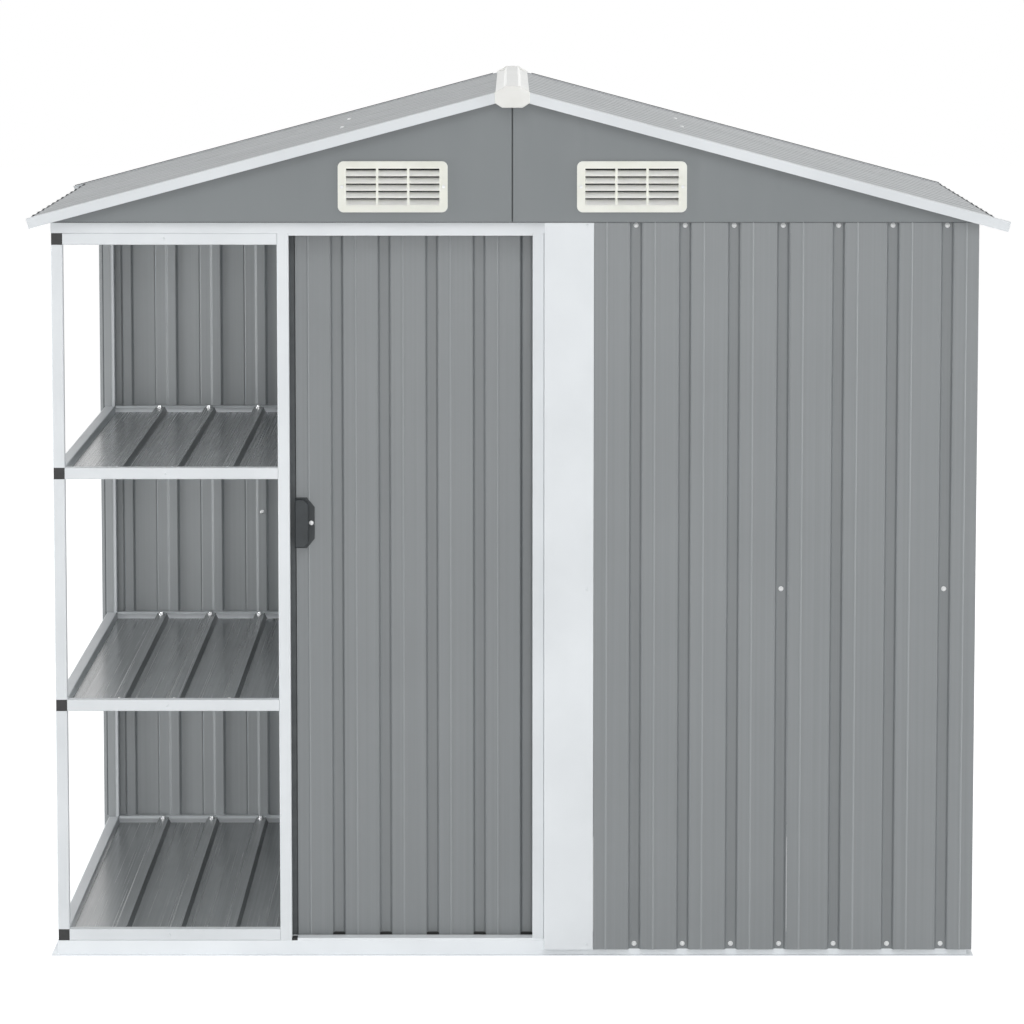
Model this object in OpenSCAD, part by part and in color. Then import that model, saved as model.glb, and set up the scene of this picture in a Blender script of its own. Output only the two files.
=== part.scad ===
// Metal storage shed with a sliding door and an open storage rack under one gable roof.
// Origin: middle of the roof's footprint, on the ground. +X is right, +Y goes back, +Z is up.

/* [Roof] */
// How far the ends of the verge trims reach past the frame at each side
eave_reach = 73; // [60:1:110]
// How far the verge trim faces stand off the frame at the front and the back
verge_reach = 28; // [24:1:60]
// Slope of each roof side in degrees
roof_pitch = 15; // [14.9:0.05:15.6]
// How far the verge trims reach past the roof sheet at the eaves
trim_reach = 26; // [15:1:35]
// Height of the verge trim's face, square to the slope
trim_face = 19; // [17:1:26]
// Width of the verge trim's flange on the roof sheet
trim_flange = 24; // [15:1:30]
// Distance of the purlins' middle from the ridge, down the slope
purlin_down = 376; // [340:1:420]
// Half width of the ridge cap's wings, along the slope
cap_wing = 36; // [32:1:45]
// Half width of the ridge cap's raised crest
cap_crest = 15; // [12:1:18]
// Height of the crest over the point where the wings would meet
cap_rise = 3; // [2:0.5:10]
// Thickness of the ridge cap's moulded ends
cap_end_t = 10; // [8:1:14]

/* [Frame] */
// Width of the frame over its tubes
frame_w = 1904; // [1850:2:2000]
// Depth of the frame over its tubes
frame_d = 1224; // [1100:2:1400]
// Height of the top rails above the ground
wall_h = 1539; // [1500:1:1580]
// Height of the base rails
base_h = 30; // [26:1:34]
// Width of the base rails' flange on the ground, outside the frame
base_flange = 13.5; // [12:0.5:20]
// Side of the square frame tubes
tube = 24; // [22:1:26]
// Wall thickness of tubes and rails
tube_t = 1.2; // [1:0.1:1.6]

/* [Sheet panels] */
// Thickness of the rolled sheet
sheet_t = 0.6; // [0.5:0.1:0.8]
// Depth of the grooves rolled into the sheet
groove_d = 9; // [7:0.5:11]
// Width of a groove at the face of the sheet
groove_w = 26; // [24:1:30]
// Width of a groove at its bottom
groove_floor = 20; // [16:1:22]
// Distance of the stiffening crease from the groove beside it
crease_gap = 26; // [22:1:30]
// Width of the crease
crease_w = 4; // [4:0.5:7]
// Height of the crease
crease_h = 1.5; // [0.6:0.1:1.6]
// Height of the lower edge of the wall panels above the ground
panel_z = 13; // [9:1:18]

/* [Rack] */
// Clear width between the rack's left tubes and the door post
rack_bay = 442; // [420:2:460]
// Width of the fin on the shelf tubes that carries the shelf sheet
fin_w = 10; // [8:1:14]
// How far the fins lie under the top of the tubes
fin_drop = 2.5; // [1:0.5:5]
// Height of the ribs of a shelf
rib_h = 11; // [8:1:13]
// Width of a shelf rib at its top
rib_top = 22; // [18:1:26]
// Width of a shelf rib at its foot
rib_foot = 34; // [30:1:38]
// Distance between shelf ribs
rib_pitch = 115; // [105:1:120]

/* [Door] */
// Clear width between the door post and the jamb post
door_gap = 504; // [480:1:530]
// Width of the white jamb panel beside the door
jamb_w = 103; // [98:1:110]
// Number of grooves in the door
door_grooves = 5; // [3:1:6]
// How far the door reaches behind the jamb post
door_lap = 17; // [12:1:22]
// Width of the set-back strip at the door's left edge
door_strip = 21; // [18:1:24]
// Distance of the door's face behind the front of the frame
door_back = 40; // [36:1:46]
// Depth of the door's edge channels
door_edge = 18; // [16:1:22]
// Width of the door handle
handle_w = 40; // [34:1:44]
// Height of the door handle
handle_h = 106; // [90:2:120]
// Height of the handle's middle above the ground
handle_z = 908; // [850:5:1000]
// How far the handle stands out from the door
handle_t = 20; // [18:1:22]
// How far the door slides open, in mm
door_travel = 450; // [300:10:450]

/* [Vents] */
// Width of a louvred vent
vent_w = 226; // [200:2:240]
// Height of a louvred vent
vent_h = 105; // [95:1:110]
// Distance of each vent's middle from the middle of the gable
vent_x = 246; // [230:2:270]
// Height of the vents' middle above the top rails
vent_up = 72.5; // [68:0.5:80]
// Width of the plain rim at a vent's sides
vent_rim = 17; // [15:1:20]
// Width of the plain rim at a vent's top and bottom
vent_end = 15; // [13:0.5:17]
// Number of louvre blades in a vent
blade_count = 5; // [4:1:6]
// Height of the open slot over each blade
blade_gap = 3; // [2:0.5:4]

/* [Hidden] */

$fn = 32;

// Colours
sheet_grey = "#8c9092";
roof_grey = "#aeb2b4";
trim_white = "#dee2e5";
shelf_grey = "#6f7476";
black_plastic = "#4b4b4b";
vent_white = "#e4e5dc";
cap_white = "#e8e8e4";

// Small clearances: between pieces that rest on each other, between sheets, and round moving pieces
seat = 0.2;
lap = 0.4;
run = 6;
eps = 1;

// Frame planes
xf = frame_w / 2;
yf = frame_d / 2;
panel_d = groove_d + sheet_t;
xo = xf + panel_d;
yo = yf + panel_d;
rail_z = wall_h - tube;
mid_up = 5;
mid_z = rail_z / 2 + mid_up;

// Rack, door post and jamb
bay_x0 = -xf + tube;
post_x0 = bay_x0 + rack_bay;
post_x1 = post_x0 + tube;
jamb_x0 = post_x1 + door_gap;
jamb_x1 = jamb_x0 + tube;
shelf_count = 3;
rib_count = 3;
level_step = (rail_z - tube - base_h) / shelf_count;

// Roof planes
tilt = tan(roof_pitch);
roof_d = frame_d + 2 * verge_reach;
xt = xf + eave_reach;
yt = roof_d / 2;
sheet_drop = panel_d + seat;
eave_rise = 7;
apex_z = wall_h + xf * tilt + (sheet_drop + sheet_t) / cos(roof_pitch) + eave_rise;
slope_len = (xt - trim_reach) / cos(roof_pitch);
trim_lift = crease_h + seat;
trim_len = xt / cos(roof_pitch) - (trim_lift + sheet_t) * tilt;
purlin_at = purlin_down - tube / 2;
gable_y = yo + lap;
gable_flange = 18;
gable_apex = apex_z - (panel_d + seat) / cos(roof_pitch);
vent_z = wall_h + vent_up;
field_w = vent_w - 2 * vent_rim;
field_h = vent_h - 2 * vent_end;
cap_out = cap_wing * cos(roof_pitch);
cap_step = 3;

// Door
door_y = -yf + door_back;
sill_x0 = post_x0 + panel_d + lap;
door_x0 = sill_x0 + run - eps;
door_x1 = jamb_x0 + door_lap;
door_z0 = base_h - run;
door_z1 = wall_h - tube_t - run;
leaf_x0 = door_x0 + door_strip;
leaf_w = door_x1 - leaf_x0;
leaf_tail = door_lap + groove_w / 2 - eps;
leaf_pitch = (leaf_w - door_lap + eps) / door_grooves;
leaf_first = leaf_w - leaf_tail - (door_grooves - 1) * leaf_pitch;
tread_rise = 5;
sill_top = base_h + tread_rise;
slot_y0 = door_y - crease_h - run + eps;
slot_y1 = door_y + door_edge + run;
slot_floor = 8;
track_z = wall_h - tube_t;

// Box between two corners
module block(lo, hi) {
    translate(lo)
        cube(hi - lo);
}

// Square tube between two corners, open along one axis
module hollow(lo, hi, axis) {
    inset = [for (i = [0:2]) i == axis ? -eps : tube_t];
    difference() {
        block(lo, hi);
        block(lo + inset, hi - inset);
    }
}

// Stiffening crease in a face line
function crease_line(x, depth) = [
    [x - crease_w / 2, depth], [x, depth - crease_h], [x + crease_w / 2, depth]
];

// One face line of a rolled sheet, from left to right as seen from outside, inward depth in y:
// a crease follows the sheet's left edge and each groove
function roll_line(w, centres, widen, depth) = concat(
    [[0, depth]],
    centres[0] - groove_w / 2 > crease_gap + crease_w ? crease_line(crease_gap, depth) : [],
    [for (c = centres) each concat(
        [
            [c - groove_w / 2 - widen, depth],
            [c - groove_floor / 2 - widen, depth + groove_d],
            [c + groove_floor / 2 + widen, depth + groove_d],
            [c + groove_w / 2 + widen, depth]
        ],
        c + groove_w / 2 + crease_gap + crease_w < w ? crease_line(c + groove_w / 2 + crease_gap, depth) : []
    )],
    [[w, depth]]
);

function backwards(line) = [for (i = [len(line) - 1:-1:0]) line[i]];

// Offset of a groove's corners between the outer and the inner face of the sheet
bend = sheet_t * tan(atan2(groove_d, (groove_w - groove_floor) / 2) / 2);

// Rolled sheet: x to the right as seen from outside, outer face toward -y, groove floors on y = 0
module rolled(w, h, first, pitch, count) {
    centres = [for (i = [0:count - 1]) first + i * pitch];
    outer = roll_line(w, centres, 0, -panel_d);
    inner = roll_line(w, centres, bend, -groove_d);
    linear_extrude(h)
        polygon(concat(outer, backwards(inner)));
}

function total(list, n) = n == 0 ? 0 : list[n - 1] + total(list, n - 1);

// Row of rolled panels: groups gives the grooves in each, and each panel ends just past its last groove
module panel_row(w, h, groups) {
    count = total(groups, len(groups));
    margin = groove_w + 2 * crease_gap;
    pitch = (w - 2 * margin) / (count - 1);
    first = margin + crease_gap / 2;
    for (i = [0:len(groups) - 1]) {
        before = total(groups, i);
        past = first + groove_w / 2 + crease_w / 2 - pitch;
        x0 = i == 0 ? 0 : past + before * pitch;
        x1 = i == len(groups) - 1 ? w : past + (before + groups[i]) * pitch - lap;
        translate([x0, 0, 0])
            rolled(x1 - x0, h, first + before * pitch - x0, pitch, groups[i]);
    }
}

// Roof frame: x down the slope, z square to it, top of the sheet on z = 0
module on_slope(side) {
    translate([0, 0, apex_z])
        rotate([0, 0, side > 0 ? 0 : 180])
            rotate([0, roof_pitch, 0])
                children();
}

// Base rail along x: flange on the ground, web and top flange, each from -half to half of its own length
module base_rail(top_half, web_half, flange_half) {
    block([-flange_half, -base_flange, 0], [flange_half, tube_t, tube_t]);
    block([-web_half, 0, 0], [web_half, tube_t, base_h - tube_t]);
    block([-top_half, 0, base_h - tube_t], [top_half, tube, base_h]);
}

// Front rail, with its top flange cut away where the door sill lies
module front_base_rail() {
    color(trim_white)
        translate([0, -yf, 0])
            difference() {
                base_rail(xf, xf, xf + base_flange);
                block([post_x1, tube_t, tube_t], [xf - tube, tube + eps, base_h + eps]);
            }
}

module back_base_rail() {
    color(trim_white)
        translate([0, yf, 0])
            rotate([0, 0, 180])
                base_rail(xf, xf, xf + base_flange);
}

module side_base_rail() {
    base_rail(yf - tube, yf - tube_t, yf - tube_t);
}

module left_base_rail() {
    color(trim_white)
        translate([-xf, 0, 0])
            rotate([0, 0, -90])
                side_base_rail();
}

module right_base_rail() {
    color(trim_white)
        translate([xf, 0, 0])
            rotate([0, 0, 90])
                side_base_rail();
}

// Channel under the wall between the rack and the room
module inner_base_rail() {
    color(trim_white)
        difference() {
            block([post_x0, -yf + tube, 0], [post_x1, yf - tube, base_h]);
            block([post_x0 + tube_t, -yf + tube - eps, -eps], [post_x1 - tube_t, yf - tube + eps, base_h - tube_t]);
            block([sill_x0 - lap, -yf, -eps], [post_x1 + eps, slot_y1 + tube_t + lap, base_h + eps]);
        }
}

// Cross-section in y and z, drawn out along x
module along_x(x0, x1) {
    translate([x0, 0, 0])
        rotate([90, 0, 90])
            linear_extrude(x1 - x0)
                children();
}

// Door sill: flat tread behind the base rail, with a gap at the door post, then the slot the door runs in
module door_sill() {
    lip = 12;
    y0 = -yf + tube_t;
    color(trim_white) {
        along_x(leaf_x0, xf - tube)
            polygon([
                [y0, base_h - lip], [y0, sill_top], [slot_y0, sill_top], [slot_y0, sill_top - tube_t],
                [y0 + tube_t, sill_top - tube_t], [y0 + tube_t, base_h - lip]
            ]);
        along_x(sill_x0, xf - tube)
            polygon([
                [slot_y0 - tube_t, slot_floor - tube_t], [slot_y0 - tube_t, sill_top], [slot_y0, sill_top],
                [slot_y0, slot_floor], [slot_y1, slot_floor], [slot_y1, sill_top], [slot_y1 + tube_t, sill_top],
                [slot_y1 + tube_t, 0], [slot_y1, 0], [slot_y1, slot_floor - tube_t]
            ]);
    }
}

module front_top_rail() {
    lip = 5;
    color(trim_white) {
        hollow([-xf, -yf, rail_z], [xf, -yf + tube, wall_h], 0);
        block([post_x1, -yf, rail_z - lip], [jamb_x0, -yf + tube_t, rail_z]);
    }
}

module back_top_rail() {
    color(trim_white)
        hollow([-xf, yf - tube, rail_z], [xf, yf, wall_h], 0);
}

module side_top_rails() {
    color(trim_white)
        for (x = [-xf, xf - tube])
            hollow([x, -yf + tube, rail_z], [x + tube, yf - tube, wall_h], 1);
    color(trim_white)
        difference() {
            hollow([post_x0, -yf + tube, rail_z], [post_x1, yf - tube, wall_h], 1);
            block([post_x0 - eps, -yf, 0], [post_x1 + eps, slot_y1 + tube_t, wall_h + eps]);
        }
}

// Inverted channel behind the top rail that guides the top of the door
module door_top_track() {
    color(trim_white)
        translate([post_x0, 0, 0])
            rotate([90, 0, 90])
                linear_extrude(xf - tube - post_x0)
                    polygon([
                        [-yf + tube, wall_h], [slot_y1 + tube_t, wall_h], [slot_y1 + tube_t, rail_z],
                        [slot_y1, rail_z], [slot_y1, track_z], [-yf + tube, track_z]
                    ]);
}

module door_post() {
    color(trim_white)
        hollow([post_x0, -yf, base_h], [post_x1, -yf + tube, rail_z], 2);
}

module jamb_post() {
    color(trim_white)
        hollow([jamb_x0, -yf, sill_top], [jamb_x1, -yf + tube, rail_z], 2);
}

// Posts in the two right corners and at the back of the inner wall
module corner_posts() {
    color(trim_white) {
        for (y = [-yf, yf - tube])
            hollow([xf - tube, y, base_h], [xf, y + tube, rail_z], 2);
        hollow([post_x0, yf - tube, base_h], [post_x1, yf, rail_z], 2);
    }
}

// Rails at half height behind the front, right, back and inner walls
module wall_mid_rails() {
    color(trim_white) {
        hollow([jamb_x1, -yf, mid_z], [xf - tube, -yf + tube, mid_z + tube], 0);
        hollow([xf - tube, -yf + tube, mid_z], [xf, yf - tube, mid_z + tube], 1);
        hollow([post_x1, yf - tube, mid_z], [xf - tube, yf, mid_z + tube], 0);
        hollow([post_x0 + panel_d, slot_y1, mid_z], [post_x1, yf - tube, mid_z + tube], 1);
    }
}

function level_z(i) = base_h + i * level_step;

// Rack posts, one length of tube between each two connectors
module rack_posts() {
    color(trim_white)
        for (i = [0:shelf_count - 1], y = [-yf, yf - tube])
            hollow([-xf, y, level_z(i) + tube], [-xf + tube, y + tube, level_z(i + 1)], 2);
}

// Moulded corner pieces that join the rack's tubes, a little back from the tubes' outer faces
module rack_connectors() {
    inset = 0.8;
    color(black_plastic)
        for (i = [0:shelf_count], back = [0, 1]) {
            y0 = back == 0 ? -yf + inset : yf - tube;
            block([-xf + inset, y0, level_z(i)], [-xf + tube, y0 + tube - inset, level_z(i) + tube]);
        }
}

// Folded sheet that wraps the rear rack post and holds the edge of the back wall
module rack_corner_angle() {
    cover = 16;
    y0 = yf - tube - lap;
    color(sheet_grey)
        for (i = [0:shelf_count - 1])
            translate([0, 0, level_z(i) + tube])
                linear_extrude(level_step - tube)
                    polygon([
                        [-xf - lap - sheet_t, y0 - sheet_t], [-xf + cover, y0 - sheet_t], [-xf + cover, y0],
                        [-xf - lap, y0], [-xf - lap, yf], [-xf - lap - sheet_t, yf]
                    ]);
}

// Cross tubes of one rack level, with fins along the front and back tubes where it carries a shelf
module rack_level(i, shelf) {
    z0 = level_z(i);
    z1 = z0 + tube;
    fin_z = z1 - fin_drop;
    color(trim_white) {
        for (y = [-yf, yf - tube])
            hollow([bay_x0, y, z0], [post_x0, y + tube, z1], 0);
        hollow([-xf, -yf + tube, z0], [bay_x0 - lap, yf - tube, z1], 1);
        if (shelf) {
            block([bay_x0 + lap, -yf + tube, fin_z - tube_t], [post_x0, -yf + tube + fin_w, fin_z]);
            block([bay_x0 + lap, yf - tube - fin_w, fin_z - tube_t], [post_x0, yf - tube, fin_z]);
        }
    }
}

module bottom_shelf_frame() {
    rack_level(0, true);
}

module middle_shelf_frame() {
    rack_level(1, true);
}

module top_shelf_frame() {
    rack_level(2, true);
}

module rack_top_frame() {
    rack_level(shelf_count, false);
}

// Upper face line of a shelf sheet: flat floor with ribs that run front to back
function rib_line(w, centres, widen, z) = concat(
    [[0, z]],
    [for (c = centres) each [
        [c - rib_foot / 2 - widen, z], [c - rib_top / 2 - widen, z + rib_h],
        [c + rib_top / 2 + widen, z + rib_h], [c + rib_foot / 2 + widen, z]
    ]],
    [[w, z]]
);

// Shelf sheet between the fins, carried by the tops of its ribs, which run on over the fins as tabs
module shelf(i) {
    gap = 3;
    w = rack_bay - 2 * gap;
    half = yf - tube - fin_w - lap;
    tab_end = yf - tube - lap;
    centres = [for (k = [0:rib_count - 1]) w / 2 + (k - (rib_count - 1) / 2) * rib_pitch];
    bend_in = sheet_t * tan(atan2(rib_h, (rib_foot - rib_top) / 2) / 2);
    top = level_z(i) + tube - fin_drop + seat + sheet_t;
    floor_z = top - rib_h;
    color(shelf_grey)
        translate([bay_x0 + gap, 0, 0]) {
            translate([0, half, 0])
                rotate([90, 0, 0])
                    linear_extrude(2 * half)
                        polygon(concat(
                            rib_line(w, centres, 0, floor_z),
                            backwards(rib_line(w, centres, -bend_in, floor_z - sheet_t))
                        ));
            for (c = centres)
                block([c - rib_top / 2, -tab_end, top - sheet_t], [c + rib_top / 2, tab_end, top]);
        }
}

module bottom_shelf() {
    shelf(0);
}

module middle_shelf() {
    shelf(1);
}

module top_shelf() {
    shelf(2);
}

panel_h = wall_h - panel_z - lap;

// White panel beside the door: a flat tray whose sides are folded back to the frame
module jamb_panel() {
    w = jamb_w - lap;
    color(trim_white)
        translate([jamb_x1, -yf, panel_z])
            linear_extrude(panel_h)
                polygon([
                    [0, 0], [0, -panel_d], [w, -panel_d], [w, 0],
                    [w - sheet_t, 0], [w - sheet_t, -groove_d], [sheet_t, -groove_d], [sheet_t, 0]
                ]);
}

// Two panels: the left one is wider and ends on a groove, the right one has its grooves farther apart
module front_wall() {
    uneven = 16;
    edge = 2;
    left_count = 4;
    right_count = 3;
    start = jamb_x1 + jamb_w;
    left_w = (xo - start + uneven) / 2;
    left_pitch = left_w / left_count;
    right_w = xo - start - left_w;
    right_pitch = (right_w - 2 * crease_gap) / right_count;
    color(sheet_grey)
        translate([start, -yf, panel_z])
            rolled(left_w - lap, panel_h, left_pitch - groove_w / 2 - edge, left_pitch, left_count);
    color(sheet_grey)
        translate([start + left_w, -yf, panel_z])
            rolled(right_w, panel_h, right_pitch - groove_w / 2, right_pitch, right_count);
}

module right_wall() {
    color(sheet_grey)
        translate([xf, -yo + sheet_t + lap, panel_z])
            rotate([0, 0, 90])
                panel_row(2 * (yo - sheet_t - lap), panel_h, [4, 4, 4]);
}

// Reaches a little past the side wall and the rack
module back_wall() {
    reach = 4;
    half = xo + reach;
    color(sheet_grey)
        translate([half, yf, panel_z])
            rotate([0, 0, 180])
                panel_row(2 * half, panel_h, [5, 4, 5, 4]);
}

// Wall between the room and the rack, flush with the posts on the rack's side
module inner_wall() {
    color(sheet_grey)
        translate([post_x0 + panel_d, yf - tube - lap, base_h + seat])
            rotate([0, 0, -90])
                panel_row(frame_d - 2 * tube - lap, rail_z - base_h - 2 * seat, [4, 4, 3]);
}

// Half of a gable on the +x side, facing -y, as a folded tray with a hole for its vent
module gable_half() {
    seam = 1.5;
    flange = gable_flange;
    y0 = -gable_y - sheet_t;
    hole_gap = 2;
    hole_w = field_w + 2 * hole_gap;
    hole_h = field_h + 2 * hole_gap;
    tip = gable_apex - xf * tilt;
    difference() {
        translate([0, y0 + sheet_t, 0])
            rotate([90, 0, 0])
                linear_extrude(sheet_t)
                    polygon([
                        [seam, wall_h], [xf, wall_h], [xf, tip], [seam, gable_apex - seam * tilt]
                    ]);
        block([vent_x - hole_w / 2, y0 - eps, vent_z - hole_h / 2],
            [vent_x + hole_w / 2, y0 + flange, vent_z + hole_h / 2]);
    }
    block([seam, y0, wall_h], [xf, -yf + flange, wall_h + sheet_t]);
    block([seam, y0, wall_h], [seam + sheet_t, y0 + flange, gable_apex - (seam + sheet_t) * tilt]);
    translate([0, -yf + flange, 0])
        rotate([90, 0, 0])
            linear_extrude(-yf + flange - y0)
                polygon([
                    [seam, gable_apex - seam * tilt], [seam, gable_apex - seam * tilt - sheet_t],
                    [xf, tip - sheet_t], [xf, tip]
                ]);
}

// Both halves, joined by a strip behind the open seam
module gable_pair() {
    strip = 15;
    y0 = -gable_y - sheet_t + gable_flange;
    color(sheet_grey) {
        gable_half();
        mirror([1, 0, 0])
            gable_half();
        block([-strip, y0 - sheet_t, wall_h], [strip, y0, gable_apex - strip * tilt - sheet_t]);
    }
}

module front_gable() {
    gable_pair();
}

module back_gable() {
    rotate([0, 0, 180])
        gable_pair();
}

// Plate with round corners, centred in x and z, from y = 0 toward -y
module round_plate(w, h, t, r) {
    rotate([90, 0, 0])
        linear_extrude(t)
            union() {
                square([w - 2 * r, h], center = true);
                square([w, h - 2 * r], center = true);
                for (x = [-1, 1], z = [-1, 1])
                    translate([x * (w / 2 - r), z * (h / 2 - r)])
                        circle(r);
            }
}

// Louvred vent: frame with round corners, sloping blades and two dividers
module vent() {
    frame_t = 5;
    corner = 12;
    step = field_h / blade_count;
    divider = 5;
    blade_run = 9;
    blade_t = 1.6;
    blade_top = step - blade_gap;
    recess = 1;
    difference() {
        round_plate(vent_w, vent_h, frame_t, corner);
        block([-field_w / 2, -frame_t - eps, -field_h / 2], [field_w / 2, eps, field_h / 2]);
    }
    for (i = [0:blade_count - 1])
        translate([0, 0, -field_h / 2 - blade_t / 2 + i * step])
            along_x(-field_w / 2 - recess, field_w / 2 + recess)
                polygon([
                    [recess / 2 - frame_t, 0], [recess / 2 - frame_t, blade_t], [blade_run - frame_t, blade_top],
                    [blade_run - frame_t, blade_top - blade_t]
                ]);
    for (x = [-1, 1])
        translate([x * field_w / 6, 0, 0])
            block([-divider / 2, recess - frame_t, -field_h / 2], [divider / 2, blade_run - frame_t, field_h / 2]);
    for (x = [-field_w / 2 - 2 * recess, field_w / 2])
        block([x, recess - frame_t, -field_h / 2], [x + 2 * recess, blade_run - frame_t, field_h / 2]);
}

module vent_pair() {
    color(vent_white)
        for (x = [-vent_x, vent_x])
            translate([x, -gable_y - sheet_t, vent_z])
                vent();
}

module front_vents() {
    vent_pair();
}

module back_vents() {
    rotate([0, 0, 180])
        vent_pair();
}

// Folded beam under the ridge, between the gables
module ridge_beam() {
    half = 30;
    leg = 26;
    z0 = gable_apex;
    span = 2 * (yf - gable_flange - seat);
    color(trim_white)
        translate([0, span / 2, 0])
            rotate([90, 0, 0])
                linear_extrude(span)
                    polygon([
                        [-half, z0 - half * tilt], [0, z0], [half, z0 - half * tilt],
                        [half, z0 - half * tilt - leg], [half - tube_t, z0 - half * tilt - leg],
                        [half - tube_t, z0 - half * tilt - tube_t], [0, z0 - 2 * tube_t],
                        [tube_t - half, z0 - half * tilt - tube_t], [tube_t - half, z0 - half * tilt - leg],
                        [-half, z0 - half * tilt - leg]
                    ]);
}

// One purlin half way down each roof side
module purlins() {
    span = 2 * (yf - gable_flange - seat);
    z1 = -sheet_drop;
    color(trim_white)
        for (side = [-1, 1])
            on_slope(side)
                hollow([purlin_at, -span / 2, z1 - tube], [purlin_at + tube, span / 2, z1], 1);
}

// Three rolled sheets on one side, grooves down the slope
module roof_side(side) {
    ridge_gap = 12;
    sheet_d = roof_d - 2 * sheet_t - 2 * lap;
    color(roof_grey)
        on_slope(side)
            translate([ridge_gap, sheet_d / 2, -panel_d])
                rotate([-90, 0, 0])
                    rotate([0, 90, 0])
                        panel_row(sheet_d, slope_len - ridge_gap, [4, 4, 4]);
}

module left_roof() {
    roof_side(-1);
}

module right_roof() {
    roof_side(1);
}

// Angle along each end of the roof: a face and a flange on the sheet; the front pair reaches past the eaves
module verge_trims() {
    start = trim_face * tilt + seat;
    color(trim_white)
        for (side = [-1, 1], end = [-1, 1])
            on_slope(side)
                mirror([0, end > 0 ? 1 : 0, 0]) {
                    tip = end > 0 ? slope_len : trim_len;
                    block([start, -yt, -trim_face], [tip, -yt + sheet_t, trim_lift + sheet_t]);
                    block([start, -yt, trim_lift], [tip, -yt + trim_flange, trim_lift + sheet_t]);
                }
}

// One face line of the ridge cap from left to right: wings on both slopes and a raised crest
function cap_line(z, crest) = [
    [-cap_out, z - cap_out * tilt], [-crest - cap_step, z - (crest + cap_step) * tilt],
    [-crest, z + cap_rise - cap_step], [-crest + cap_step, z + cap_rise],
    [crest - cap_step, z + cap_rise], [crest, z + cap_rise - cap_step],
    [crest + cap_step, z - (crest + cap_step) * tilt], [cap_out, z - cap_out * tilt]
];

// Folded cap along the ridge, on the flanges of the verge trims
module ridge_cap() {
    t = 1;
    z0 = apex_z + (trim_lift + sheet_t + seat) / cos(roof_pitch);
    color(cap_white)
        translate([0, yt - sheet_t, 0])
            rotate([90, 0, 0])
                linear_extrude(roof_d - 2 * sheet_t)
                    polygon(concat(cap_line(z0 + t, cap_crest), backwards(cap_line(z0, cap_crest - t))));
}

// Moulded caps that close the ridge at the front and the back
module ridge_end_caps() {
    drop = 45;
    proud = 2;
    chamfer = [15, 10];
    z1 = apex_z + (trim_lift + sheet_t + seat) / cos(roof_pitch) + cap_rise + proud;
    color(cap_white)
        for (turn = [0, 180])
            rotate([0, 0, turn])
                translate([0, -yt - lap, 0])
                    rotate([90, 0, 0])
                        linear_extrude(cap_end_t - lap)
                            polygon([
                                [-cap_wing, z1 - drop + chamfer[1]], [-cap_wing + chamfer[0], z1 - drop],
                                [cap_wing - chamfer[0], z1 - drop], [cap_wing, z1 - drop + chamfer[1]],
                                [cap_wing, z1 - cap_rise - cap_wing * tilt], [cap_crest + cap_step, z1 - cap_rise],
                                [cap_crest, z1], [-cap_crest, z1], [-cap_crest - cap_step, z1 - cap_rise],
                                [-cap_wing, z1 - cap_rise - cap_wing * tilt]
                            ]);
}

// Door leaf: rolled sheet with a set-back strip at its left edge
module door_panel() {
    color(sheet_grey)
        translate([leaf_x0, door_y + panel_d, door_z0])
            rolled(leaf_w, door_z1 - door_z0, leaf_first, leaf_pitch, door_grooves);
}

// Frame behind the door's sheet, folded from channel that is open toward the room
module door_edges() {
    rim = door_strip + eps;
    front = [door_x0, door_y + panel_d, door_z0];
    back = [door_x1, door_y + door_edge, door_z1];
    around = [rim, -eps, rim];
    skin = [tube_t, 0, tube_t];
    color(sheet_grey)
        difference() {
            block(front, back);
            block(front + around, back - around);
            difference() {
                block(front + skin + [0, tube_t, 0], back - skin + [0, eps, 0]);
                block(front + around - skin, back - around + skin);
            }
        }
}

// Plastic blocks that run in the sill and in the top track
module door_gliders() {
    length = 40;
    inset = 60;
    color(black_plastic)
        for (x = [door_x0 + inset, door_x1 - inset - length]) {
            block([x, slot_y0 + lap, slot_floor + lap], [x + length, slot_y1 - lap, door_z0]);
            block([x, -yf + tube + lap, door_z1], [x + length, slot_y1 - lap, track_z - lap]);
        }
}

// Pull handle: chamfered plate on the door's left edge under a grip that is open toward the post,
// with a channel in its back for the crease
module door_handle() {
    plate_t = 4;
    wall = 3;
    chamfer = [16, 20];
    corner = 9;
    overhang = 2;
    plate_edge = 13;
    grip_w = handle_w - plate_edge;
    top = handle_h / 2;
    rise = top - wall;
    channel = crease_w / 2 + lap;
    crease_x = overhang + crease_gap;
    color(black_plastic)
        translate([leaf_x0 - overhang, door_y, handle_z])
            rotate([90, 0, 0])
                difference() {
                    union() {
                        linear_extrude(plate_t)
                            polygon([
                                [0, -top], [handle_w - chamfer[0], -top], [handle_w, -top + chamfer[1]],
                                [handle_w, top - chamfer[1]], [handle_w - chamfer[0], top], [0, top]
                            ]);
                        linear_extrude(handle_t)
                            polygon([
                                [0, -rise], [grip_w - corner, -rise], [grip_w, -rise + corner],
                                [grip_w, rise - corner], [grip_w - corner, rise], [0, rise]
                            ]);
                    }
                    block([-eps, wall + corner - rise, wall], [grip_w - wall, rise - wall - corner, handle_t - wall]);
                    block([crease_x - channel, -top - eps, -eps], [crease_x + channel, top + eps, crease_h + lap]);
                }
}

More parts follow.
